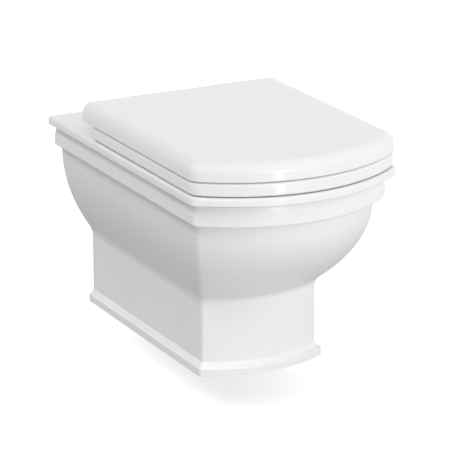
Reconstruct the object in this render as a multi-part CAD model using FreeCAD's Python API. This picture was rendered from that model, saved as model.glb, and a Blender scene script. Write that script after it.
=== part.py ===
import FreeCAD, Part
import math
import os

os.makedirs("parts", exist_ok=True)

# Wall hung toilet: square pan with a bowed front, hinged seat ring and lid.
# Millimetres, X to the right, Y towards the wall, Z up.
# The origin is on the wall plane, midway between the two wall fixing holes.

# Wall connections
RIM_ABOVE_FIXINGS = 80.0
FIXING_SPACING = 180.0
FIXING_STUD_RADIUS = 6.0
OUTLET_BELOW_FIXINGS = 100.0
OUTLET_RADIUS = 51.0
OUTLET_RECESS = 8.0
INLET_ABOVE_FIXINGS = 35.0
INLET_RADIUS = 27.5
FLUSH_PIPE_RADIUS = 22.5

# Outside of the pan
PAN_WIDTH = 356.0
PAN_CORNER = 508.0
PAN_BOW = 67.0
PAN_HEIGHT = 332.0
LIP_HEIGHT = 14.0
LIP_TOP_ROUND = 5.0
LIP_BOTTOM_ROUND = 2.5
COVE_INSET = 14.0
COVE_FRONT_INSET = 17.0
COVE_FULLNESS = 0.75
BEAD_TOP = 33.5
BEAD_BOTTOM = 50.5
BEAD_ROUND = 3.0
BEAD_INSET = 10.5
BEAD_FRONT_INSET = 13.5
BELLY_TOP = 57.0
BELLY_INSET = 23.4
BELLY_FRONT_INSET = 28.0
BELLY_BOTTOM = 207.0
FOOT_WIDTH = 202.6
FOOT_CORNER = 394.3
FOOT_BOW = 29.4
FOOT_FILL = 1.8
FOOT_FILL_REACH = 9.0
PLINTH_HEIGHT = 14.0
PLINTH_COVE = 7.0
PLINTH_STEP = 8.0
PLINTH_ROUND = 3.0
BELLY_STATIONS = 8
LIP_TURN = 18.0
BEAD_TURN = 14.0
BELLY_TURN = 16.0
FOOT_TURN = 7.0
INNER_TURN = 3.0

# Walls and inside of the pan
SHELL_WALL = 11.0
RIM_THICKNESS = 16.0
REAR_WALL = 14.0
REAR_ARCH_RADIUS = 72.0
FIXING_BOSS_RADIUS = 22.0
FIXING_BOSS_DEPTH = 30.0
INLET_WALL = 9.0
INLET_SEAT_DEPTH = 50.0
INLET_PASSAGE_RADIUS = 22.0
OUTLET_WALL = 8.5
OUTLET_START = 165.0
OUTLET_SPIGOT_LENGTH = 52.0
OUTLET_SHOULDER = 4.0

# Bowl
RIM_SIDE = 56.0
RIM_FRONT = 61.0
LEDGE_DEPTH = 215.0
RIM_SKIRT = 9.0
RIM_SKIRT_DROP = 38.0
CHANNEL_WIDTH = 13.0
CHANNEL_DROP = 50.0
BOWL_WALL = 9.0
BOWL_TOP_SPREAD = 14.0
BOWL_MIDDLE_TAPER = 19.0
BOWL_MIDDLE_DROP = 112.0
BOWL_FLOOR_RADIUS = 42.0
BOWL_FLOOR_DROP = 172.0
BOWL_THROAT_DROP = 240.0
THROAT_STEP = 1.0
TRAP_RADIUS = 31.0
TRAP_WALL = 9.0
TRAP_BEND = 42.0
RISE_BEFORE_LEDGE = 18.0
TRAP_RISE = 39.0
CREST_BEND = 42.0
CREST_LAP = 10.0

# Seat ring
SEAT_GAP = 1.8
SEAT_THICKNESS = 20.8
SEAT_WIDTH = 351.0
SEAT_CORNER = 505.5
SEAT_BOW = 67.5
SEAT_REAR = 150.0
SEAT_REAR_TURN = 18.0
SEAT_TURN = 30.0
SEAT_TOP_ROUND = 5.0
SEAT_BOTTOM_ROUND = 3.0
SEAT_OVERHANG = 14.0
SEAT_HOLE_ROUND = 7.0
SEAT_ARM_RUN = 40.0
SEAT_ARM_SINK = 1.5
SEAT_ARM_LAP = 2.0
SEAT_ARM_TOE = 4.0

# Lid
LID_GAP = 1.2
LID_HEIGHT = 30.0
LID_WIDTH = 355.0
LID_CORNER = 506.0
LID_BOW = 67.0
LID_ROLL = 15.0
LID_REAR_TURN = 18.0
LID_TURN = 30.0
LID_TOP_ROUND = 17.0
LID_STATIONS = 6
LID_BOTTOM_ROUND = 2.0
LID_WALL = 5.0
LID_STOP_AHEAD = 4.0
LID_POCKET_ABOVE = 5.0

# Hinges
HINGE_BACK = 133.0
POST_SPACING = 155.0
POST_WIDTH = 36.0
POST_PILLAR_WIDTH = 26.0
POST_PILLAR_DEPTH = 15.0
POST_BASE_RADIUS = 18.0
POST_BASE_HEIGHT = 4.5
POST_NOTCH_GAP = 4.0
PIN_RADIUS = 3.0
PIN_IN_POST = 14.0
PIN_IN_KNUCKLE = 18.0
BUSH_RADIUS = 5.0
LID_KNUCKLE_RADIUS = 12.5
LID_KNUCKLE_WIDTH = 22.0
LID_DAMPER_RADIUS = 7.0
SEAT_KNUCKLE_RADIUS = 8.4
SEAT_KNUCKLE_WIDTH = 20.0
SEAT_DAMPER_RADIUS = 6.3
GASKET_THICKNESS = 1.5
GASKET_RADIUS = 18.5
HINGE_STUD_RADIUS = 4.0
HINGE_STUD_LENGTH = 58.0
HINGE_STUD_IN_POST = 12.0
HINGE_HOLE_RADIUS = 7.0
CONE_FLANGE_RADIUS = 12.0
CONE_FLANGE = 3.0
CONE_PLUG = 8.0
CONE_TAPER = 1.5
HINGE_WASHER_RADIUS = 11.0
HINGE_WASHER = 1.5
WING_NUT_RADIUS = 9.0
WING_NUT_HEIGHT = 12.0
WING_SPAN = 44.0
WING_THICKNESS = 4.0
WING_HEIGHT = 16.0
WING_DROP = 4.0

# Buffers
BUFFER_LENGTH = 30.0
BUFFER_WIDTH = 14.0
BUFFER_PLUG_RADIUS = 4.0
BUFFER_PLUG_DEPTH = 6.0
LID_BUFFER_RADIUS = 7.0
LID_BUFFER_TIP = 5.0
SEAT_BUFFER_REAR = 250.0
SEAT_BUFFER_REAR_SIDE = 140.0
SEAT_BUFFER_FRONT = 470.0
SEAT_BUFFER_FRONT_SIDE = 128.0
LID_BUFFER_REAR = 260.0
LID_BUFFER_REAR_SIDE = 138.0
LID_BUFFER_FRONT = 480.0
LID_BUFFER_FRONT_SIDE = 120.0

# Wall fixing set and inlet seal
SLEEVE_WALL = 2.2
SLEEVE_FLANGE_RADIUS = 16.0
SLEEVE_FLANGE = 3.0
FIXING_WASHER_RADIUS = 14.0
FIXING_WASHER = 2.5
FIXING_NUT_FLATS = 18.0
FIXING_NUT_HEIGHT = 10.0
SEAL_FLANGE_RADIUS = 31.0
SEAL_FLANGE = 3.0
SEAL_LENGTH = 46.0

# Clearances
STUD_CLEARANCE = 0.55
NUT_CLEARANCE = 0.1
SLEEVE_CLEARANCE = 0.2
PIPE_CLEARANCE = 0.25
SEAL_CLEARANCE = 0.2
RUNNING_CLEARANCE = 0.05
SNUG_CLEARANCE = 0.05
KNUCKLE_SIDE_GAP = 0.6
HEAD_CLEARANCE = 0.4
SOFT_CLEARANCE = 0.3
BUFFER_GAP = 0.15
OVERCUT = 1.0
SAME_PLACE = 0.001

V = FreeCAD.Vector
RIM = RIM_ABOVE_FIXINGS
UP = V(0, 0, 1)
RIGHT = V(1, 0, 0)
BACK = V(0, 1, 0)


def arc(centre, radius, from_angle, to_angle):
    def at(angle):
        return centre + V(math.cos(angle) * radius, math.sin(angle) * radius, 0)
    return Part.Arc(at(from_angle), at((from_angle + to_angle) / 2.0), at(to_angle)).toShape()


def outline(half, corner, bow, level, turn, rear=-OVERCUT, rear_turn=0.0):
    radius = (half * half + bow * bow) / (2.0 * bow)
    bow_centre = V(0, radius - corner - bow, level)
    turn_x = half - turn
    turn_y = bow_centre.y - math.sqrt((radius - turn) ** 2 - turn_x ** 2)
    meet = math.atan2(turn_y - bow_centre.y, turn_x)
    rear_y = -rear - rear_turn
    edges = [
        Part.makeLine(V(-half, rear_y, level), V(-half, turn_y, level)),
        arc(V(-turn_x, turn_y, level), turn, math.pi, math.pi - meet),
        arc(bow_centre, radius, -math.pi - meet, meet),
        arc(V(turn_x, turn_y, level), turn, meet, 0.0),
        Part.makeLine(V(half, turn_y, level), V(half, rear_y, level)),
    ]
    if rear_turn > 0.0:
        rear_x = half - rear_turn
        edges.append(arc(V(rear_x, rear_y, level), rear_turn, 0.0, math.pi / 2.0))
        edges.append(Part.makeLine(V(rear_x, -rear, level), V(-rear_x, -rear, level)))
        edges.append(arc(V(-rear_x, rear_y, level), rear_turn, math.pi / 2.0, math.pi))
    else:
        edges.append(Part.makeLine(V(half, rear_y, level), V(-half, rear_y, level)))
    return Part.Wire(edges)


def slab(half, corner, bow, bottom, top, turn, rear=-OVERCUT, rear_turn=0.0):
    face = Part.Face(outline(half, corner, bow, bottom, turn, rear, rear_turn))
    return face.extrude(V(0, 0, top - bottom))


def box(x0, x1, y0, y1, z0, z1):
    return Part.makeBox(x1 - x0, y1 - y0, z1 - z0, V(x0, y0, z0))


def rod(radius, start, end):
    along = end - start
    return Part.makeCylinder(radius, along.Length, start, along)


def hexagon(radius, start, end):
    along = end - start
    side = UP if abs(along.z) < abs(along.x) + abs(along.y) else RIGHT
    across = along.cross(side).normalize()
    corners = []
    for k in range(7):
        turn = k * math.pi / 3.0
        corners.append(start + side * (radius * math.cos(turn)) + across * (radius * math.sin(turn)))
    return Part.Face(Part.makePolygon(corners)).extrude(along)


def edges_where(shape, test):
    return [edge for edge in shape.Edges if test(edge)]


def level_edges(shape, level, open_rear=None):
    chosen = []
    for edge in shape.Edges:
        flat = all(abs(v.Z - level) < SAME_PLACE for v in edge.Vertexes)
        rear = open_rear is not None and all(abs(v.Y + open_rear) < SAME_PLACE for v in edge.Vertexes)
        if flat and not rear:
            chosen.append(edge)
    return chosen


# Pan outside: lip, cove and bead of the rim, then belly, foot and plinth.
half_pan = PAN_WIDTH / 2.0
half_foot = FOOT_WIDTH / 2.0
lip = slab(half_pan, PAN_CORNER, PAN_BOW, RIM - LIP_HEIGHT, RIM, LIP_TURN)
lip = lip.makeFillet(LIP_TOP_ROUND, level_edges(lip, RIM, -OVERCUT))
lip = lip.makeFillet(LIP_BOTTOM_ROUND, level_edges(lip, RIM - LIP_HEIGHT, -OVERCUT))


def ring_at(side_inset, front_inset, drop):
    return outline(half_pan - side_inset, PAN_CORNER - front_inset, PAN_BOW, RIM - drop, BEAD_TURN)


cove_mid = (LIP_HEIGHT + BEAD_TOP) / 2.0
cove_mid_inset = COVE_INSET * COVE_FULLNESS + BEAD_INSET * (1 - COVE_FULLNESS)
cove_mid_front = COVE_FRONT_INSET * COVE_FULLNESS + BEAD_FRONT_INSET * (1 - COVE_FULLNESS)
cove = Part.makeLoft([
    ring_at(COVE_INSET, COVE_FRONT_INSET, LIP_HEIGHT),
    ring_at(cove_mid_inset, cove_mid_front, cove_mid),
    ring_at(BEAD_INSET, BEAD_FRONT_INSET, BEAD_TOP),
], True, False)
bead = slab(half_pan - BEAD_INSET, PAN_CORNER - BEAD_FRONT_INSET, PAN_BOW,
            RIM - BEAD_BOTTOM, RIM - BEAD_TOP, BEAD_TURN)
bead = bead.makeFillet(BEAD_ROUND, level_edges(bead, RIM - BEAD_BOTTOM, -OVERCUT))
neck = slab(half_pan - BELLY_INSET, PAN_CORNER - BELLY_FRONT_INSET, PAN_BOW,
            RIM - BELLY_TOP, RIM - BEAD_BOTTOM, BELLY_TURN)


def belly_ring(share, wall):
    curve = share * share
    half = (half_pan - BELLY_INSET) * (1 - curve) + half_foot * curve
    corner = (PAN_CORNER - BELLY_FRONT_INSET) * (1 - curve) + FOOT_CORNER * curve
    bow = PAN_BOW * (1 - curve) + FOOT_BOW * curve
    turn = INNER_TURN if wall > 0.0 else BELLY_TURN * (1 - curve) + FOOT_TURN * curve
    drop = BELLY_TOP + (BELLY_BOTTOM - BELLY_TOP) * share
    return outline(half - wall, corner - wall, bow, RIM - drop, turn)


def belly(wall):
    rings = [belly_ring(k / BELLY_STATIONS, wall) for k in range(BELLY_STATIONS + 1)]
    return Part.makeLoft(rings, True, False)


fill_share = 1 - FOOT_FILL_REACH / (BELLY_BOTTOM - BELLY_TOP)
foot_fill = Part.makeLoft([
    belly_ring(fill_share, 0.0),
    outline(half_foot + FOOT_FILL, FOOT_CORNER + FOOT_FILL, FOOT_BOW, RIM - BELLY_BOTTOM, FOOT_TURN),
    outline(half_foot, FOOT_CORNER, FOOT_BOW, RIM - BELLY_BOTTOM - FOOT_FILL_REACH, FOOT_TURN),
], True, False)
plinth_top = PAN_HEIGHT - PLINTH_HEIGHT
cove_step = PLINTH_STEP - PLINTH_ROUND
foot = slab(half_foot, FOOT_CORNER, FOOT_BOW, RIM - plinth_top, RIM - BELLY_BOTTOM, FOOT_TURN)
plinth_cove = Part.makeLoft([
    outline(half_foot, FOOT_CORNER, FOOT_BOW, RIM - plinth_top + PLINTH_COVE, FOOT_TURN),
    outline(half_foot + cove_step, FOOT_CORNER + cove_step, FOOT_BOW, RIM - plinth_top, FOOT_TURN),
], True, True)
plinth = slab(half_foot + PLINTH_STEP, FOOT_CORNER + PLINTH_STEP, FOOT_BOW,
              RIM - PAN_HEIGHT, RIM - plinth_top, FOOT_TURN)
plinth = plinth.makeFillet(PLINTH_ROUND, level_edges(plinth, RIM - plinth_top, -OVERCUT))
outside = lip.multiFuse([cove, bead, neck, belly(0.0), foot_fill, foot, plinth_cove, plinth])
below = RIM - PAN_HEIGHT - OVERCUT
outside = outside.cut(box(-half_pan, half_pan, 0, 2 * OVERCUT, below, RIM + OVERCUT))

# Hollow inside the shell, open below.
hollow_top = slab(half_pan - BELLY_INSET - SHELL_WALL, PAN_CORNER - BELLY_FRONT_INSET - SHELL_WALL,
                  PAN_BOW, RIM - BELLY_TOP, RIM - RIM_THICKNESS, INNER_TURN, REAR_WALL)
hollow_foot = slab(half_foot - SHELL_WALL, FOOT_CORNER - SHELL_WALL, FOOT_BOW,
                   below, RIM - BELLY_BOTTOM, INNER_TURN, REAR_WALL)
rear_wall_space = box(-half_pan, half_pan, -REAR_WALL, 2 * OVERCUT, below, RIM)
hollow_belly = belly(SHELL_WALL).cut(rear_wall_space)
shell = outside.cut(hollow_top.multiFuse([hollow_belly, hollow_foot]))

# Bowl: a dish with round ends and a straight middle, and a round throat at its rear centre.
opening_radius = half_pan - RIM_SIDE
front_centre = PAN_CORNER + PAN_BOW - RIM_FRONT - opening_radius
rear_centre = LEDGE_DEPTH + opening_radius
bowl_top_radius = opening_radius + BOWL_TOP_SPREAD
bowl_middle_radius = opening_radius - BOWL_MIDDLE_TAPER
skirt_radius = opening_radius + RIM_SKIRT
channel_radius = skirt_radius + CHANNEL_WIDTH


def bowl(wall):
    high = RIM - CHANNEL_DROP
    floor = RIM - BOWL_FLOOR_DROP - wall

    def corner(radius, level):
        return V(radius, -rear_centre, level)

    top_edge = corner(bowl_top_radius + wall, high)
    floor_edge = corner(BOWL_FLOOR_RADIUS + wall, floor)
    side = Part.Arc(top_edge, corner(bowl_middle_radius + wall, RIM - BOWL_MIDDLE_DROP), floor_edge)
    half = Part.Face(Part.Wire([side.toShape(), Part.makeLine(floor_edge, corner(0, floor)),
                                Part.makeLine(corner(0, floor), corner(0, high)),
                                Part.makeLine(corner(0, high), top_edge)]))
    straight = BACK * (rear_centre - front_centre)
    rear_end = half.revolve(corner(0, 0), UP, 180)
    middle_right = half.extrude(straight)
    middle_left = middle_right.mirror(V(0, 0, 0), RIGHT)
    front_end = half.translated(straight).revolve(V(0, -front_centre, 0), UP, -180)
    low = RIM - BOWL_THROAT_DROP
    throat_height = floor - low + wall
    throat_top = BOWL_FLOOR_RADIUS - THROAT_STEP + wall
    throat = Part.makeCone(TRAP_RADIUS + wall, throat_top, throat_height, corner(0, low), UP)
    return rear_end.multiFuse([middle_right, middle_left, front_end, throat])


def oval_prism(radius, bottom, top):
    left_front = V(-radius, -front_centre, bottom)
    right_front = V(radius, -front_centre, bottom)
    left_rear = V(-radius, -rear_centre, bottom)
    right_rear = V(radius, -rear_centre, bottom)
    wire = Part.Wire([
        Part.makeLine(left_rear, left_front),
        Part.Arc(left_front, V(0, -front_centre - radius, bottom), right_front).toShape(),
        Part.makeLine(right_front, right_rear),
        Part.Arc(right_rear, V(0, -rear_centre + radius, bottom), left_rear).toShape(),
    ])
    return Part.Face(wire).extrude(UP * (top - bottom))


channel_wall = oval_prism(channel_radius + BOWL_WALL, RIM - CHANNEL_DROP, RIM - RIM_THICKNESS)

# Water trap: down from the throat, back along the bottom, up and over the crest.
bend_in = V(0, -rear_centre, RIM - BOWL_THROAT_DROP)
bend_centre = bend_in + BACK * TRAP_BEND
run_start = bend_centre - UP * TRAP_BEND
run_end = V(0, -LEDGE_DEPTH - RISE_BEFORE_LEDGE - TRAP_BEND, run_start.z)
rise_centre = run_end + UP * TRAP_BEND
rise_start = rise_centre + BACK * TRAP_BEND
rise_top = rise_start + UP * TRAP_RISE
crest_centre = rise_top + BACK * CREST_BEND
crest_top = crest_centre + UP * CREST_BEND
crest_end = V(0, -OUTLET_START + CREST_LAP, crest_top.z)


def elbow(radius, start, heading, centre, angle):
    disc = Part.Face(Part.Wire(Part.makeCircle(radius, start, heading)))
    return disc.revolve(centre, RIGHT, angle)


def trap(radius):
    return elbow(radius, bend_in, UP, bend_centre, 90).multiFuse([
        rod(radius, run_start, run_end),
        elbow(radius, run_end, BACK, rise_centre, 90),
        rod(radius, rise_start, rise_top),
        elbow(radius, rise_top, UP, crest_centre, -90),
        rod(radius, crest_top, crest_end),
    ])


outlet_level = -OUTLET_BELOW_FIXINGS
outlet_inner = V(0, -OUTLET_START, outlet_level)
outlet_end = V(0, -OUTLET_RECESS, outlet_level)
outlet_shoulder = outlet_end - BACK * OUTLET_SPIGOT_LENGTH
inlet_level = INLET_ABOVE_FIXINGS
inlet_mouth = V(0, OVERCUT, inlet_level)
inlet_seat = V(0, -INLET_SEAT_DEPTH, inlet_level)
inlet_end = V(0, -rear_centre + skirt_radius, inlet_level)
inlet_tube = rod(INLET_RADIUS + INLET_WALL, V(0, -REAR_WALL / 2.0, inlet_level),
                 V(0, -rear_centre + channel_radius + BOWL_WALL / 2.0, inlet_level))
half_fixing = FIXING_SPACING / 2.0
bosses = [rod(FIXING_BOSS_RADIUS, V(side * half_fixing, -REAR_WALL / 2.0, 0),
              V(side * half_fixing, -FIXING_BOSS_DEPTH, 0)) for side in (-1, 1)]
skirt = oval_prism(skirt_radius, RIM - RIM_SKIRT_DROP, RIM - RIM_THICKNESS / 2.0)
pan_shell = shell.multiFuse([skirt, inlet_tube] + bosses)

# Openings through the shell.
opening = oval_prism(opening_radius, RIM - RIM_SKIRT_DROP - OVERCUT, RIM + OVERCUT)
arch = rod(REAR_ARCH_RADIUS, V(0, -REAR_WALL - OVERCUT, outlet_level), V(0, OVERCUT, outlet_level))
arch = arch.fuse(box(-REAR_ARCH_RADIUS, REAR_ARCH_RADIUS, -REAR_WALL - OVERCUT, OVERCUT,
                     below, outlet_level))
passage = rod(INLET_PASSAGE_RADIUS, inlet_seat, inlet_end)
sleeve_bore = FIXING_STUD_RADIUS + STUD_CLEARANCE
sleeve_radius = sleeve_bore + SLEEVE_WALL
hinge_level = RIM + SEAT_GAP + SEAT_THICKNESS + LID_GAP + LID_HEIGHT - LID_ROLL
post_hole_y = -HINGE_BACK - POST_PILLAR_DEPTH / 2.0
half_posts = POST_SPACING / 2.0
cuts = [opening, arch, passage,
        rod(INLET_RADIUS, inlet_mouth, inlet_seat),
        rod(SEAL_FLANGE_RADIUS + SEAL_CLEARANCE, inlet_mouth,
            V(0, -SEAL_FLANGE - SEAL_CLEARANCE, inlet_level))]
for side in (-1, 1):
    cuts.append(rod(sleeve_radius + SLEEVE_CLEARANCE, V(side * half_fixing, OVERCUT, 0),
                    V(side * half_fixing, -FIXING_BOSS_DEPTH - OVERCUT, 0)))
    cuts.append(rod(HINGE_HOLE_RADIUS, V(side * half_posts, post_hole_y, RIM + OVERCUT),
                    V(side * half_posts, post_hole_y, RIM - RIM_THICKNESS - OVERCUT)))
for cutter in cuts:
    pan_shell = pan_shell.cut(cutter)
pan_shell = pan_shell.removeSplitter()

# Bowl casting under the rim, with the flush channel round its top.
channel = oval_prism(channel_radius, RIM - CHANNEL_DROP, RIM - RIM_THICKNESS)
pan_bowl = bowl(BOWL_WALL).fuse(channel_wall)
for cutter in (channel, bowl(0.0), passage, pan_shell):
    pan_bowl = pan_bowl.cut(cutter)
pan_bowl = pan_bowl.removeSplitter()

# Trap casting from the throat to the outlet spigot.
pan_trap = trap(TRAP_RADIUS + TRAP_WALL).multiFuse([
    rod(OUTLET_RADIUS, outlet_inner, outlet_end),
    rod(OUTLET_RADIUS + OUTLET_SHOULDER, outlet_inner, outlet_shoulder),
])
outlet_bore = rod(OUTLET_RADIUS - OUTLET_WALL, outlet_inner, V(0, OVERCUT, outlet_level))
for cutter in (trap(TRAP_RADIUS), outlet_bore, pan_bowl):
    pan_trap = pan_trap.cut(cutter)
pan_trap = pan_trap.removeSplitter()

# Seat ring with two knuckle arms that rise to the hinge axis.
seat_bottom = RIM + SEAT_GAP
seat_top = seat_bottom + SEAT_THICKNESS
seat_ring = slab(SEAT_WIDTH / 2.0, SEAT_CORNER, SEAT_BOW, seat_bottom, seat_top,
                 SEAT_TURN, SEAT_REAR, SEAT_REAR_TURN)
seat_ring = seat_ring.makeFillet(SEAT_TOP_ROUND, level_edges(seat_ring, seat_top))
seat_ring = seat_ring.makeFillet(SEAT_BOTTOM_ROUND, level_edges(seat_ring, seat_bottom))
hole_radius = opening_radius - SEAT_OVERHANG
hole = oval_prism(hole_radius, seat_bottom - OVERCUT, seat_top + OVERCUT)
seat_ring = seat_ring.cut(hole)


def hole_edge(level):
    def test(edge):
        extent = edge.BoundBox
        inside = max(-extent.XMin, extent.XMax) < hole_radius + OVERCUT
        flat = abs(extent.ZMin - level) < SAME_PLACE and abs(extent.ZMax - level) < SAME_PLACE
        return inside and flat
    return test


seat_ring = seat_ring.makeFillet(SEAT_HOLE_ROUND, edges_where(seat_ring, hole_edge(seat_top)))
hinge = V(0, -HINGE_BACK, hinge_level)
half_post = POST_WIDTH / 2.0
post_inner = half_posts - half_post
post_outer = half_posts + half_post
seat_knuckle_outer = post_inner - KNUCKLE_SIDE_GAP
seat_knuckle_inner = seat_knuckle_outer - SEAT_KNUCKLE_WIDTH
lid_knuckle_inner = post_outer + KNUCKLE_SIDE_GAP
lid_knuckle_outer = lid_knuckle_inner + LID_KNUCKLE_WIDTH
notch_front = -post_hole_y + POST_BASE_RADIUS + POST_NOTCH_GAP
arm_low = hinge_level - seat_bottom - SEAT_ARM_TOE
for side in (-1, 1):
    x_low = min(side * (post_inner - KNUCKLE_SIDE_GAP), side * (post_outer + KNUCKLE_SIDE_GAP))
    seat_ring = seat_ring.cut(box(x_low, x_low + POST_WIDTH + 2 * KNUCKLE_SIDE_GAP, -notch_front, 0,
                                  seat_bottom - OVERCUT, seat_top + OVERCUT))
for side in (-1, 1):
    start = hinge + RIGHT * min(side * seat_knuckle_inner, side * seat_knuckle_outer)
    profile = [start + V(0, -SEAT_ARM_RUN, seat_top - SEAT_ARM_SINK - hinge_level),
               start + V(0, HINGE_BACK - SEAT_REAR - SEAT_ARM_LAP, -arm_low),
               start + V(0, 0, -SEAT_KNUCKLE_RADIUS),
               start + V(0, -SEAT_KNUCKLE_RADIUS * math.sqrt(0.5), SEAT_KNUCKLE_RADIUS * math.sqrt(0.5))]
    arm = Part.Face(Part.makePolygon(profile + profile[:1])).extrude(RIGHT * SEAT_KNUCKLE_WIDTH)
    knuckle = rod(SEAT_KNUCKLE_RADIUS, start, start + RIGHT * SEAT_KNUCKLE_WIDTH)
    seat_ring = seat_ring.multiFuse([arm, knuckle])
seat_ring = seat_ring.removeSplitter()

# Lid: hollow cover, rounded over its top edge, with knuckles outside the posts.
lid_bottom = seat_top + LID_GAP
lid_top = lid_bottom + LID_HEIGHT
lid_rear = HINGE_BACK - LID_ROLL
half_lid = LID_WIDTH / 2.0
roll_start = lid_top - LID_TOP_ROUND
lid_front_radius = (half_lid * half_lid + LID_BOW * LID_BOW) / (2.0 * LID_BOW)


def lid_ring(inset, rear_inset, level):
    half = half_lid - inset
    radius = lid_front_radius - inset
    bow = radius - math.sqrt(radius * radius - half * half)
    corner = LID_CORNER + LID_BOW - inset - bow
    rear_turn = max(LID_REAR_TURN - inset, INNER_TURN)
    return outline(half, corner, bow, level, LID_TURN - inset, lid_rear + rear_inset, rear_turn)


def lid_cover(wall):
    rings = []
    for k in range(LID_STATIONS + 1):
        turn = k * math.pi / (2 * LID_STATIONS)
        level = roll_start + (LID_TOP_ROUND - wall) * math.sin(turn)
        inset = LID_TOP_ROUND - (LID_TOP_ROUND - wall) * math.cos(turn)
        over = min(max(level - lid_top + LID_ROLL, 0.0), LID_ROLL - wall)
        rear_inset = LID_ROLL - math.sqrt((LID_ROLL - wall) ** 2 - over ** 2)
        rings.append(lid_ring(inset, rear_inset, level))
    return Part.makeLoft(rings, True, False)


def lid_side(wall, bottom):
    return Part.Face(lid_ring(wall, wall, bottom)).extrude(UP * (roll_start - bottom))


lid = lid_side(0.0, lid_bottom)
lid = lid.makeFillet(LID_BOTTOM_ROUND, level_edges(lid, lid_bottom))
lid = lid.fuse(lid_cover(0.0))
lid = lid.cut(lid_side(LID_WALL, lid_bottom - OVERCUT).fuse(lid_cover(LID_WALL)))
for side in (-1, 1):
    start = hinge + RIGHT * min(side * lid_knuckle_inner, side * lid_knuckle_outer)
    lid = lid.fuse(rod(LID_KNUCKLE_RADIUS, start, start + RIGHT * LID_KNUCKLE_WIDTH))
head_bore = LID_ROLL + HEAD_CLEARANCE
for side in (-1, 1):
    post_low = min(side * post_inner, side * post_outer) - KNUCKLE_SIDE_GAP
    post_high = post_low + POST_WIDTH + 2 * KNUCKLE_SIDE_GAP
    knuckle_low = min(side * seat_knuckle_inner, side * seat_knuckle_outer) - KNUCKLE_SIDE_GAP
    knuckle_high = knuckle_low + SEAT_KNUCKLE_WIDTH + 2 * KNUCKLE_SIDE_GAP
    lid = lid.cut(rod(head_bore, hinge + RIGHT * post_low, hinge + RIGHT * post_high))
    lid = lid.cut(box(post_low, post_high, -HINGE_BACK - LID_STOP_AHEAD, 0,
                      lid_bottom - OVERCUT, lid_top + OVERCUT))
    lid = lid.cut(box(knuckle_low, knuckle_high, -HINGE_BACK, 0,
                      lid_bottom - OVERCUT, hinge_level + LID_POCKET_ABOVE))

# Buffers: four under the seat, four tips on pillars under the lid.
def four_places(rear, rear_side, front, front_side):
    return [(-rear_side, -rear), (rear_side, -rear), (-front_side, -front), (front_side, -front)]


seat_buffers = []
for x, y in four_places(SEAT_BUFFER_REAR, SEAT_BUFFER_REAR_SIDE, SEAT_BUFFER_FRONT, SEAT_BUFFER_FRONT_SIDE):
    pad = box(x - BUFFER_WIDTH / 2.0, x + BUFFER_WIDTH / 2.0,
              y - BUFFER_LENGTH / 2.0, y + BUFFER_LENGTH / 2.0, RIM + BUFFER_GAP, seat_bottom)
    plug = rod(BUFFER_PLUG_RADIUS, V(x, y, seat_bottom), V(x, y, seat_bottom + BUFFER_PLUG_DEPTH))
    seat_buffers.append(pad.fuse(plug))
    pocket = rod(BUFFER_PLUG_RADIUS + SOFT_CLEARANCE, V(x, y, seat_bottom - OVERCUT),
                 V(x, y, seat_bottom + BUFFER_PLUG_DEPTH + SOFT_CLEARANCE))
    seat_ring = seat_ring.cut(pocket)
lid_buffers = []
pillar_end = lid_bottom + LID_BUFFER_TIP
for x, y in four_places(LID_BUFFER_REAR, LID_BUFFER_REAR_SIDE, LID_BUFFER_FRONT, LID_BUFFER_FRONT_SIDE):
    pillar = rod(LID_BUFFER_RADIUS, V(x, y, pillar_end), V(x, y, lid_top - LID_WALL / 2.0))
    pocket = rod(BUFFER_PLUG_RADIUS + SOFT_CLEARANCE, V(x, y, pillar_end - OVERCUT),
                 V(x, y, pillar_end + BUFFER_PLUG_DEPTH + SOFT_CLEARANCE))
    lid = lid.fuse(pillar).cut(pocket)
    tip = rod(LID_BUFFER_RADIUS, V(x, y, seat_top + BUFFER_GAP), V(x, y, pillar_end))
    plug = rod(BUFFER_PLUG_RADIUS, V(x, y, pillar_end), V(x, y, pillar_end + BUFFER_PLUG_DEPTH))
    lid_buffers.append(tip.fuse(plug))

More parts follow.
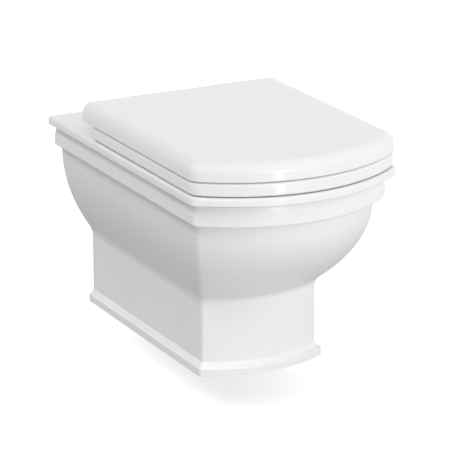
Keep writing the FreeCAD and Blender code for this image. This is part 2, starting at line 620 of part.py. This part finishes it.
# Hinge posts with their studs, gaskets, cones, washers and wing nuts.
gasket_top = RIM + GASKET_THICKNESS
posts = {}
hinge_gaskets, hinge_studs, hinge_cones, hinge_washers, hinge_wing_nuts = [], [], [], [], []
for side in (-1, 1):
    foot_centre = V(side * half_posts, post_hole_y, 0)

    def above(level):
        return foot_centre + UP * level

    base = rod(POST_BASE_RADIUS, above(gasket_top), above(gasket_top + POST_BASE_HEIGHT))
    pillar = box(foot_centre.x - POST_PILLAR_WIDTH / 2.0, foot_centre.x + POST_PILLAR_WIDTH / 2.0,
                 -HINGE_BACK - POST_PILLAR_DEPTH, -HINGE_BACK, gasket_top, hinge_level)
    head_start = hinge + RIGHT * (foot_centre.x - half_post)
    head = rod(LID_ROLL, head_start, head_start + RIGHT * POST_WIDTH)
    post = base.multiFuse([pillar, head]).removeSplitter()
    post = post.cut(rod(HINGE_STUD_RADIUS + SNUG_CLEARANCE, above(gasket_top - OVERCUT),
                        above(gasket_top + HINGE_STUD_IN_POST + SNUG_CLEARANCE)))
    for face_x, inward in ((foot_centre.x - half_post, 1), (foot_centre.x + half_post, -1)):
        mouth = hinge + RIGHT * (face_x - inward * OVERCUT)
        bottom = hinge + RIGHT * (face_x + inward * PIN_IN_POST)
        post = post.cut(rod(PIN_RADIUS + SNUG_CLEARANCE, mouth, bottom))
    posts[side] = post
    stud_top = gasket_top + HINGE_STUD_IN_POST
    hinge_studs.append(rod(HINGE_STUD_RADIUS, above(stud_top - HINGE_STUD_LENGTH), above(stud_top)))
    gasket = rod(GASKET_RADIUS, above(RIM), above(gasket_top))
    under = RIM - RIM_THICKNESS
    washer_top = under - CONE_FLANGE
    nut_top = washer_top - HINGE_WASHER
    nut_low = nut_top - WING_HEIGHT
    stud_hole = rod(HINGE_STUD_RADIUS + SOFT_CLEARANCE, above(nut_low - OVERCUT),
                    above(gasket_top + OVERCUT))
    thread_hole = rod(HINGE_STUD_RADIUS + NUT_CLEARANCE, above(nut_low - OVERCUT), above(nut_top + OVERCUT))
    hinge_gaskets.append(gasket.cut(stud_hole))
    plug_top = HINGE_HOLE_RADIUS - CONE_TAPER
    cone = Part.makeCone(HINGE_HOLE_RADIUS - SOFT_CLEARANCE, plug_top, CONE_PLUG, above(under), UP)
    cone = cone.fuse(rod(CONE_FLANGE_RADIUS, above(washer_top), above(under)))
    hinge_cones.append(cone.cut(stud_hole))
    hinge_washers.append(rod(HINGE_WASHER_RADIUS, above(nut_top), above(washer_top)).cut(stud_hole))
    nut = rod(WING_NUT_RADIUS, above(nut_top - WING_NUT_HEIGHT), above(nut_top))
    wing = box(foot_centre.x - WING_SPAN / 2.0, foot_centre.x + WING_SPAN / 2.0,
               post_hole_y - WING_THICKNESS / 2.0, post_hole_y + WING_THICKNESS / 2.0,
               nut_low, nut_top - WING_DROP)
    hinge_wing_nuts.append(nut.fuse(wing).cut(thread_hole))

# Left post carries the lid damper shaft and the plain seat pin, right post the other two.
pin_reach = KNUCKLE_SIDE_GAP + PIN_IN_KNUCKLE


def pin(face_x, direction):
    inner = hinge + RIGHT * (face_x - direction * PIN_IN_POST)
    outer = hinge + RIGHT * (face_x + direction * pin_reach)
    return rod(PIN_RADIUS, inner, outer)


lid_damper_shaft = pin(-post_outer, -1)
lid_pivot_pin = pin(post_outer, 1)
seat_pivot_pin = pin(-post_inner, 1)
seat_damper_shaft = pin(post_inner, -1)


def knuckle_fill(face_x, direction, radius, six_sided, clearance=0.0):
    mouth = hinge + RIGHT * (face_x + direction * KNUCKLE_SIDE_GAP)
    end = mouth + RIGHT * (direction * (PIN_IN_KNUCKLE + clearance))
    if six_sided:
        return hexagon(radius + clearance, mouth, end)
    return rod(radius + clearance, mouth, end)


def bored(body):
    return body.cut(rod(PIN_RADIUS + RUNNING_CLEARANCE, hinge - RIGHT * half_pan, hinge + RIGHT * half_pan))


lid_damper = bored(knuckle_fill(-post_outer, -1, LID_DAMPER_RADIUS, True))
lid_pivot_bush = bored(knuckle_fill(post_outer, 1, BUSH_RADIUS, False))
seat_damper = bored(knuckle_fill(post_inner, -1, SEAT_DAMPER_RADIUS, True))
seat_pivot_bush = bored(knuckle_fill(-post_inner, 1, BUSH_RADIUS, False))
lid = lid.cut(knuckle_fill(-post_outer, -1, LID_DAMPER_RADIUS, True, SNUG_CLEARANCE))
lid = lid.cut(knuckle_fill(post_outer, 1, BUSH_RADIUS, False, SNUG_CLEARANCE)).removeSplitter()
seat_ring = seat_ring.cut(knuckle_fill(post_inner, -1, SEAT_DAMPER_RADIUS, True, SNUG_CLEARANCE))
seat_ring = seat_ring.cut(knuckle_fill(-post_inner, 1, BUSH_RADIUS, False, SNUG_CLEARANCE)).removeSplitter()

# Wall fixing set: sleeve, washer and nut on each side.
fixing_sleeves, fixing_washers, fixing_nuts = [], [], []
for side in (-1, 1):
    x = side * half_fixing

    def behind(depth):
        return V(x, -depth, 0)

    flange_end = FIXING_BOSS_DEPTH + SLEEVE_FLANGE
    sleeve = rod(sleeve_radius, behind(0), behind(flange_end))
    sleeve = sleeve.fuse(rod(SLEEVE_FLANGE_RADIUS, behind(FIXING_BOSS_DEPTH), behind(flange_end)))
    nut_end = flange_end + FIXING_WASHER + FIXING_NUT_HEIGHT
    rod_hole = rod(sleeve_bore, behind(-OVERCUT), behind(nut_end + OVERCUT))
    thread_hole = rod(FIXING_STUD_RADIUS + NUT_CLEARANCE, behind(flange_end), behind(nut_end + OVERCUT))
    fixing_sleeves.append(sleeve.cut(rod_hole))
    washer_end = flange_end + FIXING_WASHER
    washer = rod(FIXING_WASHER_RADIUS, behind(flange_end), behind(washer_end))
    fixing_washers.append(washer.cut(rod_hole))
    nut = hexagon(FIXING_NUT_FLATS / math.sqrt(3.0), behind(washer_end), behind(nut_end))
    fixing_nuts.append(nut.cut(thread_hole))

# Rubber sleeve in the flush inlet.
seal_start = V(0, -SEAL_CLEARANCE / 2.0, inlet_level)
seal_end = V(0, -SEAL_LENGTH, inlet_level)
inlet_seal = rod(INLET_RADIUS - SEAL_CLEARANCE, seal_start, seal_end)
inlet_seal = inlet_seal.fuse(rod(SEAL_FLANGE_RADIUS, seal_start, V(0, -SEAL_FLANGE, inlet_level)))
pipe_hole = rod(FLUSH_PIPE_RADIUS + PIPE_CLEARANCE, inlet_mouth, seal_end - BACK * OVERCUT)
inlet_seal = inlet_seal.cut(pipe_hole)

nodes = {
    "pan_shell": pan_shell,
    "pan_bowl": pan_bowl,
    "pan_trap": pan_trap,
    "seat_ring": seat_ring,
    "lid": lid,
    "seat_buffers": Part.makeCompound(seat_buffers),
    "lid_buffers": Part.makeCompound(lid_buffers),
    "hinge_post_left": posts[-1],
    "hinge_post_right": posts[1],
    "hinge_gaskets": Part.makeCompound(hinge_gaskets),
    "hinge_studs": Part.makeCompound(hinge_studs),
    "hinge_cones": Part.makeCompound(hinge_cones),
    "hinge_washers": Part.makeCompound(hinge_washers),
    "hinge_wing_nuts": Part.makeCompound(hinge_wing_nuts),
    "lid_damper": lid_damper,
    "lid_damper_shaft": lid_damper_shaft,
    "lid_pivot_pin": lid_pivot_pin,
    "lid_pivot_bush": lid_pivot_bush,
    "seat_damper": seat_damper,
    "seat_damper_shaft": seat_damper_shaft,
    "seat_pivot_pin": seat_pivot_pin,
    "seat_pivot_bush": seat_pivot_bush,
    "fixing_sleeves": Part.makeCompound(fixing_sleeves),
    "fixing_washers": Part.makeCompound(fixing_washers),
    "fixing_nuts": Part.makeCompound(fixing_nuts),
    "inlet_seal": inlet_seal,
}
for name, shape in nodes.items():
    print(name, shape.isValid(), len(shape.Solids), round(shape.Volume / 1000.0, 1))
    shape.exportStep("parts/" + name + ".step")
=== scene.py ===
import bmesh
import bpy
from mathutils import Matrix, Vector

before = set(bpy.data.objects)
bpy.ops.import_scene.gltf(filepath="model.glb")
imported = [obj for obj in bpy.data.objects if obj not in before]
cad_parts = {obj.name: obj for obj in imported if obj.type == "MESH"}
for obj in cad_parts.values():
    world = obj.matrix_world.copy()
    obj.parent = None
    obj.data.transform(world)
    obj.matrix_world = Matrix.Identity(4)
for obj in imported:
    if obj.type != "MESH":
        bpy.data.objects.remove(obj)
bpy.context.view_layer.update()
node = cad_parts

# Pan: shell, bowl and trap cast in vitreous china, joined wet, glazed white and
# fired as one. The glaze lies as a clear glassy coat that ripples faintly where
# it ran, and the fired body under it is not quite one white all over.


def surface_flow(grain_share=0.12):
    group = bpy.data.node_groups.new("surface_flow", "ShaderNodeTree")
    for name, way in (("Run Scale", "INPUT"), ("Grain Scale", "INPUT"),
                      ("Tone", "OUTPUT"), ("Gloss", "OUTPUT"), ("Height", "OUTPUT")):
        group.interface.new_socket(name, in_out=way, socket_type="NodeSocketFloat")
    n, link = group.nodes, group.links
    given = n.new("NodeGroupInput")
    out = n.new("NodeGroupOutput")
    place = n.new("ShaderNodeTexCoord")
    noise = {}
    for name, detail, roughness in (("Run", 2.0, 0.45), ("Grain", 4.0, 0.6)):
        made = n.new("ShaderNodeTexNoise")
        made.inputs["Detail"].default_value = detail
        made.inputs["Roughness"].default_value = roughness
        link.new(place.outputs["Object"], made.inputs["Vector"])
        link.new(given.outputs[name + " Scale"], made.inputs["Scale"])
        noise[name] = made.outputs["Fac"]
    both = n.new("ShaderNodeMath")
    both.operation = "MULTIPLY_ADD"
    link.new(noise["Grain"], both.inputs[0])
    both.inputs[1].default_value = grain_share
    link.new(noise["Run"], both.inputs[2])
    link.new(noise["Run"], out.inputs["Tone"])
    link.new(noise["Grain"], out.inputs["Gloss"])
    link.new(both.outputs["Value"], out.inputs["Height"])
    return group


flow = surface_flow()


def skin_of(material):
    return material.node_tree.nodes["Principled BSDF"].inputs


def finish_of(name, light, dark, run_scale, grain_scale, smooth, rough, bump, depth):
    made = bpy.data.materials.new(name)
    made.use_nodes = True
    n, link = made.node_tree.nodes, made.node_tree.links
    skin = skin_of(made)
    ripple = n.new("ShaderNodeGroup")
    ripple.node_tree = flow
    ripple.inputs["Run Scale"].default_value = run_scale
    ripple.inputs["Grain Scale"].default_value = grain_scale
    tone = n.new("ShaderNodeMix")
    tone.data_type = "RGBA"
    tone.inputs["A"].default_value = (*light, 1.0)
    tone.inputs["B"].default_value = (*dark, 1.0)
    link.new(ripple.outputs["Tone"], tone.inputs["Factor"])
    link.new(tone.outputs["Result"], skin["Base Color"])
    grain_low, grain_high = 0.3, 0.7
    gloss = n.new("ShaderNodeMapRange")
    gloss.inputs["From Min"].default_value = grain_low
    gloss.inputs["From Max"].default_value = grain_high
    gloss.inputs["To Min"].default_value = smooth
    gloss.inputs["To Max"].default_value = rough
    link.new(ripple.outputs["Gloss"], gloss.inputs["Value"])
    link.new(gloss.outputs["Result"], skin["Roughness"])
    lumps = n.new("ShaderNodeBump")
    lumps.inputs["Strength"].default_value = bump
    lumps.inputs["Distance"].default_value = depth
    link.new(ripple.outputs["Height"], lumps.inputs["Height"])
    link.new(lumps.outputs["Normal"], skin["Normal"])
    return made


def dress(material, *names):
    for name in names:
        slots = node[name].data.materials
        slots.clear()
        slots.append(material)


glaze_coat = 0.15


def china(name):
    made = finish_of(name, light=(0.83, 0.835, 0.83), dark=(0.80, 0.805, 0.80),
                     run_scale=9.0, grain_scale=60.0, smooth=0.38, rough=0.44,
                     bump=0.15, depth=0.0006)
    skin = skin_of(made)
    skin["Specular IOR Level"].default_value = 0.3
    skin["Coat Weight"].default_value = glaze_coat
    skin["Coat Roughness"].default_value = 0.05
    return made


dress(china("glazed_china"), "pan_bowl", "pan_trap")

# Bare clay of the shell: the face against the wall and the inside of the foot
# are left without glaze, so they are dry, a little warmer and sandy.


def maths(n, link, operation, *values):
    made = n.new("ShaderNodeMath")
    made.operation = operation
    for port, value in zip(made.inputs, values):
        if isinstance(value, float):
            port.default_value = value
        else:
            link.new(value, port)
    return made.outputs["Value"]


def rise(n, link, value, low, high):
    made = n.new("ShaderNodeMapRange")
    made.interpolation_type = "SMOOTHSTEP"
    made.inputs["From Min"].default_value = low
    made.inputs["From Max"].default_value = high
    link.new(value, made.inputs["Value"])
    return made.outputs["Result"]


glaze_ends, clay_begins = -0.0014, -0.0006
foot_half_width, foot_front, foot_top = 0.0955, -0.386, -0.05
pale_clay, dark_clay = (0.80, 0.77, 0.71, 1.0), (0.70, 0.67, 0.61, 1.0)
clay_roughness = 0.85
sand_scale, sand_detail = 420.0, 5.0

shell_china = china("part_glazed_china")
skin = skin_of(shell_china)
n, link = shell_china.node_tree.nodes, shell_china.node_tree.links
place = n.new("ShaderNodeTexCoord")
split = n.new("ShaderNodeSeparateXYZ")
link.new(place.outputs["Object"], split.inputs["Vector"])
across, along, height = split.outputs["X"], split.outputs["Y"], split.outputs["Z"]
wall_face = rise(n, link, along, glaze_ends, clay_begins)
between_sides = maths(n, link, "LESS_THAN", maths(n, link, "ABSOLUTE", across), foot_half_width)
behind_front = maths(n, link, "GREATER_THAN", along, foot_front)
under_belly = maths(n, link, "LESS_THAN", height, foot_top)
inside_foot = maths(n, link, "MULTIPLY", between_sides, behind_front)
inside_foot = maths(n, link, "MULTIPLY", inside_foot, under_belly)
bare = maths(n, link, "MAXIMUM", wall_face, inside_foot)

sand = n.new("ShaderNodeTexNoise")
sand.inputs["Scale"].default_value = sand_scale
sand.inputs["Detail"].default_value = sand_detail
link.new(place.outputs["Object"], sand.inputs["Vector"])
clay = n.new("ShaderNodeMix")
clay.data_type = "RGBA"
clay.inputs["A"].default_value = pale_clay
clay.inputs["B"].default_value = dark_clay
link.new(sand.outputs["Fac"], clay.inputs["Factor"])

cover = n.new("ShaderNodeMix")
cover.data_type = "RGBA"
link.new(bare, cover.inputs["Factor"])
link.new(skin["Base Color"].links[0].from_socket, cover.inputs["A"])
link.new(clay.outputs["Result"], cover.inputs["B"])
link.new(cover.outputs["Result"], skin["Base Color"])
dull = n.new("ShaderNodeMix")
link.new(bare, dull.inputs["Factor"])
link.new(skin["Roughness"].links[0].from_socket, dull.inputs["A"])
dull.inputs["B"].default_value = clay_roughness
link.new(dull.outputs["Result"], skin["Roughness"])
coat = n.new("ShaderNodeMapRange")
coat.inputs["To Min"].default_value = glaze_coat
coat.inputs["To Max"].default_value = 0.0
link.new(bare, coat.inputs["Value"])
link.new(coat.outputs["Result"], skin["Coat Weight"])
dress(shell_china, "pan_shell")

# Wall fixing set: a nylon sleeve in each fixing hole, then a steel washer and
# an M12 nut turned up against the china, and a rubber sleeve in the flush inlet.
nylon = finish_of("nylon", light=(0.74, 0.73, 0.68), dark=(0.68, 0.67, 0.62),
                  run_scale=30.0, grain_scale=400.0, smooth=0.35, rough=0.5,
                  bump=0.1, depth=0.0003)
steel = finish_of("bright_steel", light=(0.60, 0.61, 0.63), dark=(0.48, 0.49, 0.51),
                  run_scale=60.0, grain_scale=900.0, smooth=0.18, rough=0.38,
                  bump=0.08, depth=0.0002)
skin_of(steel)["Metallic"].default_value = 1.0
black_rubber = finish_of("black_rubber", light=(0.028, 0.028, 0.03), dark=(0.018, 0.018, 0.02),
                         run_scale=25.0, grain_scale=700.0, smooth=0.55, rough=0.75,
                         bump=0.2, depth=0.0003)
dress(nylon, "fixing_sleeves")
dress(steel, "fixing_washers", "fixing_nuts")
dress(black_rubber, "inlet_seal")

# Hinge sets: a white enamelled post on a soft pad, held by a stud with a rubber
# cone, a washer and a wing nut under the ledge.
enamel = finish_of("white_enamel", light=(0.80, 0.80, 0.795), dark=(0.77, 0.77, 0.765),
                   run_scale=20.0, grain_scale=300.0, smooth=0.12, rough=0.2,
                   bump=0.1, depth=0.0003)
soft_white = finish_of("white_rubber", light=(0.72, 0.72, 0.70), dark=(0.67, 0.67, 0.65),
                       run_scale=40.0, grain_scale=600.0, smooth=0.5, rough=0.7,
                       bump=0.2, depth=0.0003)
dress(enamel, "hinge_post_left", "hinge_post_right")
dress(soft_white, "hinge_gaskets")
dress(black_rubber, "hinge_cones")
dress(steel, "hinge_studs", "hinge_washers")
dress(nylon, "hinge_wing_nuts")

# Soft close cartridges and plain pins: nylon bodies and bushes in the knuckles,
# turning on steel shafts that are fixed in the posts.
dress(nylon, "lid_damper", "lid_pivot_bush", "seat_damper", "seat_pivot_bush")
dress(steel, "lid_damper_shaft", "lid_pivot_pin", "seat_damper_shaft", "seat_pivot_pin")

# Seat ring: compression moulded from white thermoset resin, glossy all round,
# with four rubber buffers pressed into its underside.
resin = finish_of("white_resin", light=(0.82, 0.82, 0.815), dark=(0.795, 0.795, 0.79),
                  run_scale=7.0, grain_scale=220.0, smooth=0.38, rough=0.44,
                  bump=0.08, depth=0.0004)
skin = skin_of(resin)
skin["Specular IOR Level"].default_value = 0.3
skin["Coat Weight"].default_value = 0.5
skin["Coat Roughness"].default_value = 0.1
dress(resin, "seat_ring")
dress(soft_white, "seat_buffers")

# Lid: a hollow cover moulded from the same resin, with a rounded edge. Four
# pillars inside it end in rubber tips that rest on the seat.
dress(resin, "lid")
dress(soft_white, "lid_buffers")

# Studio: a pale paper floor under the hung pan, which looks white and keeps a
# faint shadow. Light comes from soft panels all round, from a softbox ahead,
# and from a small low lamp that puts the glint on seat and lid.
floor_height, floor_half = -0.32, 12.0
paper_grey, shadow_grey = (0.55, 0.55, 0.55, 1.0), (0.7, 0.7, 0.7, 1.0)
paper_glow = 0.6
mirror_starts, mirror_full = 0.4, 2.0

outline = bmesh.new()
bmesh.ops.create_grid(outline, x_segments=1, y_segments=1, size=floor_half)
bmesh.ops.translate(outline, verts=outline.verts, vec=(0.0, 0.0, floor_height))
floor_mesh = bpy.data.meshes.new("floor")
outline.to_mesh(floor_mesh)
outline.free()
floor = bpy.data.objects.new("floor", floor_mesh)
bpy.context.scene.collection.objects.link(floor)

paper = bpy.data.materials.new("pale_floor")
paper.use_nodes = True
n, link = paper.node_tree.nodes, paper.node_tree.links
n.clear()
out = n.new("ShaderNodeOutputMaterial")
matt = n.new("ShaderNodeBsdfDiffuse")
matt.inputs["Color"].default_value = paper_grey
shaded = n.new("ShaderNodeBsdfDiffuse")
shaded.inputs["Color"].default_value = shadow_grey
glow = n.new("ShaderNodeEmission")
glow.inputs["Strength"].default_value = paper_glow
white = n.new("ShaderNodeAddShader")
mixed = n.new("ShaderNodeMixShader")
path = n.new("ShaderNodeLightPath").outputs
# Painted shade in reflections: mirrored rays see the white glow only far off, fading in from
# 0.4 m to 2 m of ray length. Nearer the pan they see only the matt grey paper, standing in for
# the pan's shade on the floor below it.
mirrored = maths(n, link, "MAXIMUM", path["Is Glossy Ray"], path["Is Transmission Ray"])
far_off = rise(n, link, path["Ray Length"], mirror_starts, mirror_full)
mirrored = maths(n, link, "MULTIPLY", mirrored, far_off)
link.new(maths(n, link, "MAXIMUM", path["Is Camera Ray"], mirrored), mixed.inputs["Fac"])
link.new(shaded.outputs["BSDF"], white.inputs[0])
link.new(glow.outputs["Emission"], white.inputs[1])
link.new(matt.outputs["BSDF"], mixed.inputs[1])
link.new(white.outputs["Shader"], mixed.inputs[2])
link.new(mixed.outputs["Shader"], out.inputs["Surface"])
floor_mesh.materials.append(paper)

world = bpy.data.worlds.new("studio")
bpy.context.scene.world = world
world.use_nodes = True
n, link = world.node_tree.nodes, world.node_tree.links
place = n.new("ShaderNodeTexCoord")
split = n.new("ShaderNodeSeparateXYZ")
link.new(place.outputs["Generated"], split.inputs["Vector"])
east, north, height = split.outputs["X"], split.outputs["Y"], split.outputs["Z"]
low_fades, mid_fades, high_fades = (0.22, 0.46), (0.54, 0.76), (0.84, 0.96)
over_low = rise(n, link, height, *low_fades)
over_mid = rise(n, link, height, *mid_fades)
over_high = rise(n, link, height, *high_fades)
bands = {"low": maths(n, link, "SUBTRACT", 1.0, over_low),
         "mid": maths(n, link, "SUBTRACT", over_low, over_mid),
         "high": maths(n, link, "SUBTRACT", over_mid, over_high)}
level = maths(n, link, "MULTIPLY_ADD", north, north, maths(n, link, "MULTIPLY", east, east))


def facing(axis, way):
    ahead = maths(n, link, "MAXIMUM", maths(n, link, "MULTIPLY", axis, way), 0.0)
    return maths(n, link, "DIVIDE", maths(n, link, "MULTIPLY", ahead, ahead), level)


sides = {"front": facing(north, -1.0), "back": facing(north, 1.0),
         "left": facing(east, -1.0), "right": facing(east, 1.0)}
even_light = 0.12
panels = (("low", "front", 0.75), ("low", "right", 2.1),
          ("mid", "front", 1.38), ("mid", "right", 0.7), ("mid", "back", 1.85),
          ("high", "front", 0.6), ("high", "left", 4.1))
strength = even_light
for band, side, power in panels:
    panel = maths(n, link, "MULTIPLY", bands[band], sides[side])
    strength = maths(n, link, "MULTIPLY_ADD", panel, power, strength)
path = n.new("ShaderNodeLightPath").outputs
seen = maths(n, link, "MAXIMUM", path["Is Glossy Ray"], path["Is Transmission Ray"])
seen = maths(n, link, "MAXIMUM", path["Is Camera Ray"], seen)
up_to_white = maths(n, link, "SUBTRACT", 1.0, strength)
backdrop = n["Background"].inputs
backdrop["Color"].default_value = (1.0, 1.0, 1.0, 1.0)
link.new(maths(n, link, "MULTIPLY_ADD", up_to_white, seen, strength), backdrop["Strength"])


def point(thing, at, towards):
    thing.location = at
    thing.rotation_euler = (Vector(towards) - Vector(at)).to_track_quat("-Z", "Y").to_euler()
    bpy.context.scene.collection.objects.link(thing)


def lamp(name, shape, width, tall, watts, at, towards):
    light = bpy.data.lights.new(name, "AREA")
    light.shape = shape
    light.size, light.size_y = width, tall
    light.energy = watts
    point(bpy.data.objects.new(name, light), at, towards)


lamp("softbox", "RECTANGLE", width=0.7, tall=0.5, watts=25.5,
     at=(0.1, -3.8, 0.25), towards=(0.0, -0.5, 0.05))
lamp("glint", "ELLIPSE", width=0.13, tall=0.15, watts=0.34,
     at=(-0.01, -1.57, -0.21), towards=(-0.057, -0.565, 0.1))

# Camera: a long lens well above the rim, to the left of the front, aimed at the
# middle of the pan so that the whole object stands free in a square picture.
lens = bpy.data.cameras.new("camera")
lens.sensor_width = 36.0
lens.lens = 217.5
lens.clip_end = 60.0
camera = bpy.data.objects.new("camera", lens)
point(camera, at=(-1.938, -3.934, 1.285), towards=(0.00735, -0.270, -0.0599))
bpy.context.scene.camera = camera
bpy.context.scene.view_settings.view_transform = "Standard"
